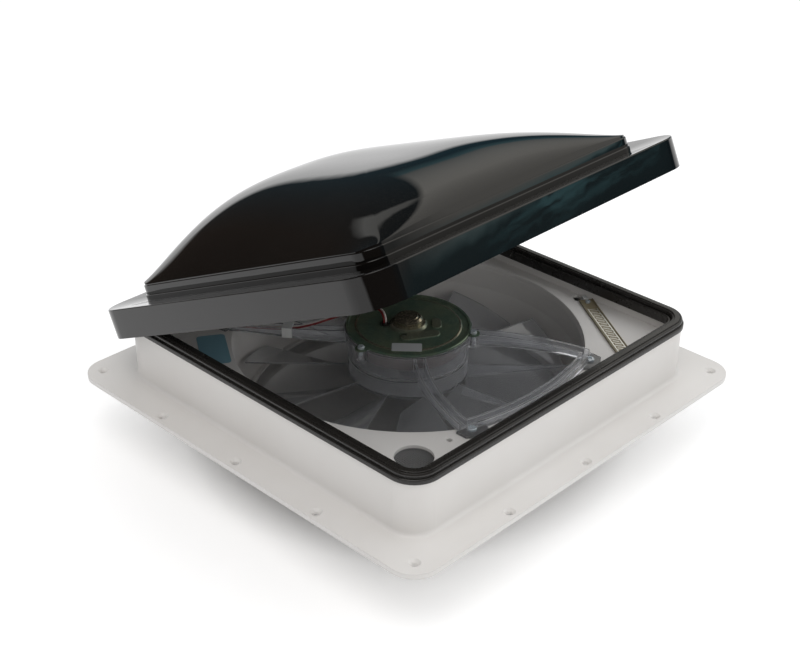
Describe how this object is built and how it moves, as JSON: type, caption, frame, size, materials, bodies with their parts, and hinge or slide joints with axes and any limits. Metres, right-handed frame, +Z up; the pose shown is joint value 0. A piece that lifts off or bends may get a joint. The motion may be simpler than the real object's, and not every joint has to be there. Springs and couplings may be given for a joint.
{
  "type": "caravan roof vent",
  "caption": "Powered roof vent with a motor-lifted glossy black dome lid over a clear-bladed fan in a white square base with a screw flange.",
  "frame": {"origin": "centre of the flange's underside, on the roof surface", "axes": "+Z up, away from the roof; the lid is hinged on the +Y side and opens at the -Y side; the lift drive is on the +X side"},
  "size_m": [0.451, 0.451, 0.3038],
  "materials": {
    "base_plastic": "warm white moulded ABS with a low sheen",
    "black_rubber": "matt black extruded rubber",
    "clear_plastic": "clear moulded polycarbonate with a faint blue edge",
    "screw_steel": "bright zinc plated, faintly blue",
    "motor_plate": "olive passivated zinc plating, glossy, golden where it is raised",
    "motor_can": "dark red-brown enamel",
    "magnet": "sintered ferrite",
    "steel": "ground steel",
    "carbon": "pressed carbon in its holder",
    "label_silver": "silvered foil, bare",
    "lead_red": "dark red PVC insulation",
    "lead_white": "white PVC insulation",
    "white_plastic": "white nylon",
    "black_plastic": "black moulded plastic",
    "core_steel": "stacked laminations",
    "copper": "turned copper bars",
    "screen_mesh": "grey coated glass-fibre insect mesh",
    "panel_grey": "grey membrane plate",
    "board_green": "solder-masked circuit board",
    "vent_mesh": "grey moulded mesh",
    "sensor_board": "olive-tan circuit laminate",
    "trace_silver": "tinned copper track",
    "label_blue": "pale blue film, bare",
    "lid_black": "high-gloss smoke-black acrylic",
    "zinc_steel": "zinc plated sheet steel",
    "black_steel": "blackened steel",
    "gear_nylon": "natural nylon",
    "brass": "turned brass",
    "lift_motor_steel": "nickel plated can",
    "button_grey": "dark grey moulded button"
  },
  "bodies": {
    "root": {"base_deck": "base_plastic", "base_moulding": "base_plastic", "base_neck": "base_plastic", "base_throat": "base_plastic", "bracket_screws": "screw_steel", "control_board": "board_green", "control_panel": "panel_grey", "corner_vent_screen": "vent_mesh", "curb_gasket": "black_rubber", "deck_label": "label_blue", "gearbox_screws": "screw_steel", "hinge_pins": "steel", "inner_cover": "base_plastic", "inner_cover_screws": "screw_steel", "insect_screen": "screen_mesh", "lead_clip": "white_plastic", "lead_connector": "white_plastic", "lift_gearbox": "zinc_steel", "lift_motor": "lift_motor_steel", "motor_bearings": "steel", "motor_bracket": "clear_plastic", "motor_brushes": "carbon", "motor_can": "motor_can", "motor_end_plate": "motor_plate", "motor_label": "label_silver", "motor_magnets": "magnet", "motor_screws": "screw_steel", "rain_sensor_board": "sensor_board", "rain_sensor_fixings": "screw_steel", "rain_sensor_plug": "white_plastic", "rain_sensor_traces": "trace_silver", "red_lead": "lead_red", "screen_clip_screws": "screw_steel", "screen_clips": "white_plastic", "screen_frame": "black_plastic", "white_lead": "lead_white", "wire_grommet": "black_rubber"},
    "lid": {"lid_dome": "lid_black", "lid_hinge_leaves": "zinc_steel", "lid_hinge_screws": "black_steel", "lid_track": "zinc_steel", "lid_track_screws": "screw_steel"},
    "lift_arm": {"lift_arm": "zinc_steel", "roller_pin": "steel", "arm_shaft": "steel", "lift_gear": "gear_nylon"},
    "roller": {"arm_roller": "white_plastic"},
    "worm": {"lift_worm": "brass", "lift_worm_shaft": "steel", "lift_knob": "black_plastic"},
    "fan": {"fan_blade": "clear_plastic", "fan_shaft": "steel", "fan_collar": "black_plastic", "fan_armature": "core_steel", "fan_commutator": "copper"},
    "power_button": {"power_button": "button_grey"},
    "lid_button": {"lid_button": "button_grey"},
    "speed_button": {"speed_button": "button_grey"}
  },
  "joints": [
    {"name": "lid_hinge", "type": "hinge", "parent": "root", "child": "lid", "pos_m": [0, 0.1955, 0.0425], "axis": [-1, 0, 0], "range_deg": [-25.4, 20]},
    {"name": "arm_turn", "type": "hinge", "parent": "root", "child": "lift_arm", "pos_m": [0, 0.11823, 0.02179], "axis": [-1, 0, 0], "range_deg": [-50.8, 40]},
    {"name": "worm_turn", "type": "hinge", "parent": "root", "child": "worm", "pos_m": [0.144, 0.14023, 0], "axis": [0, 0, 1], "range_deg": [-1219.2, 960]},
    {"name": "roller_turn", "type": "hinge", "parent": "lift_arm", "child": "roller", "pos_m": [0.16, 0.10959, 0.10133], "axis": [-1, 0, 0], "continuous": true},
    {"name": "fan_turn", "type": "hinge", "parent": "root", "child": "fan", "pos_m": [0, 0, 0], "axis": [0, 0, 1], "continuous": true},
    {"name": "power_button_press", "type": "slide", "parent": "root", "child": "power_button", "axis": [0, 0, 1], "range_m": [0, 0.001], "stiffness_N_per_m": 400, "springref_m": -0.0005},
    {"name": "lid_button_press", "type": "slide", "parent": "root", "child": "lid_button", "axis": [0, 0, 1], "range_m": [0, 0.001], "stiffness_N_per_m": 400, "springref_m": -0.0005},
    {"name": "speed_button_press", "type": "slide", "parent": "root", "child": "speed_button", "axis": [0, 0, 1], "range_m": [0, 0.001], "stiffness_N_per_m": 400, "springref_m": -0.0005}
  ],
  "couplings": [
    {"joint": "arm_turn", "follows": "lid_hinge", "ratio": 2},
    {"joint": "worm_turn", "follows": "lid_hinge", "ratio": 48}
  ]
}
